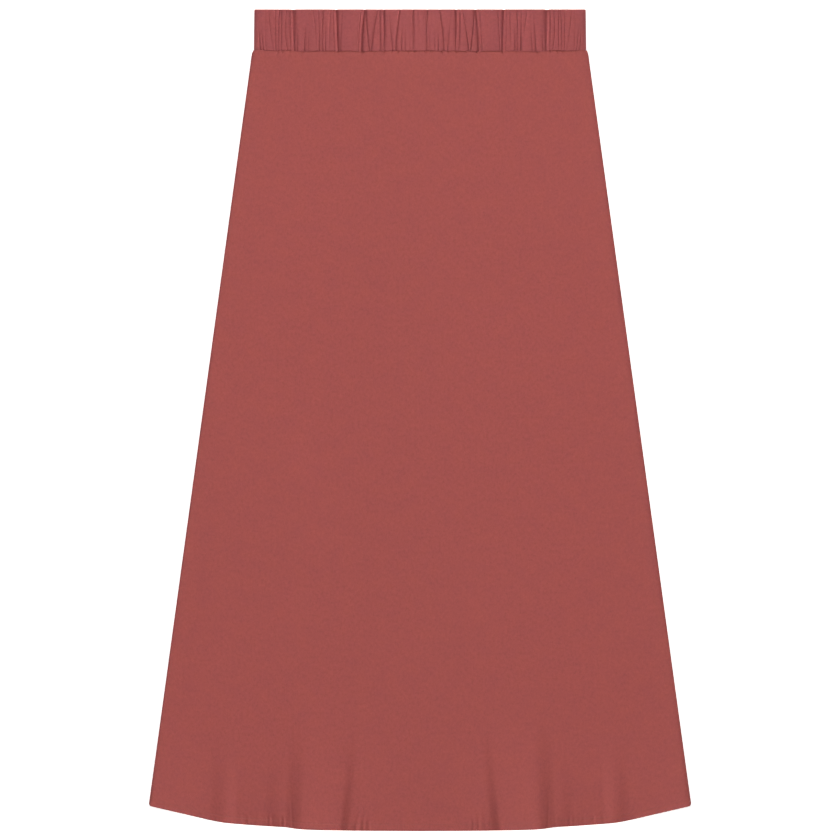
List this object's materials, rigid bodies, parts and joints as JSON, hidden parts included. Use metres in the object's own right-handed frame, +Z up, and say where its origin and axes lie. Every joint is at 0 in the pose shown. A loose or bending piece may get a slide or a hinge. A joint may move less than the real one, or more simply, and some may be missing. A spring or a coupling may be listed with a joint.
{
  "type": "flared midi skirt",
  "caption": "Pull-on flared midi skirt with a gathered elasticated waistband and a narrow fluted hem, laid flat on its back panel.",
  "frame": {"origin": "on the surface that the skirt lies on, under the centre of its bounding box: the middle line, halfway between the waistband's fold and the hem's lowest point", "axes": "+Y runs up the skirt from hem to waist, +X across it to the wearer's left as it is seen from the front, +Z up off the surface, out of the front panel"},
  "size_m": [0.5414, 0.821, 0.009],
  "materials": {
    "skirt_cloth": "fine matt crepe weave in brick red, with a faint sheen",
    "waistband_cloth": "the same crepe gathered on elastic, slightly deeper and cooler"
  },
  "bodies": {
    "root": {"front_panel": "skirt_cloth", "back_panel": "skirt_cloth", "front_waistband": "waistband_cloth", "back_waistband": "waistband_cloth"}
  },
  "joints": []
}
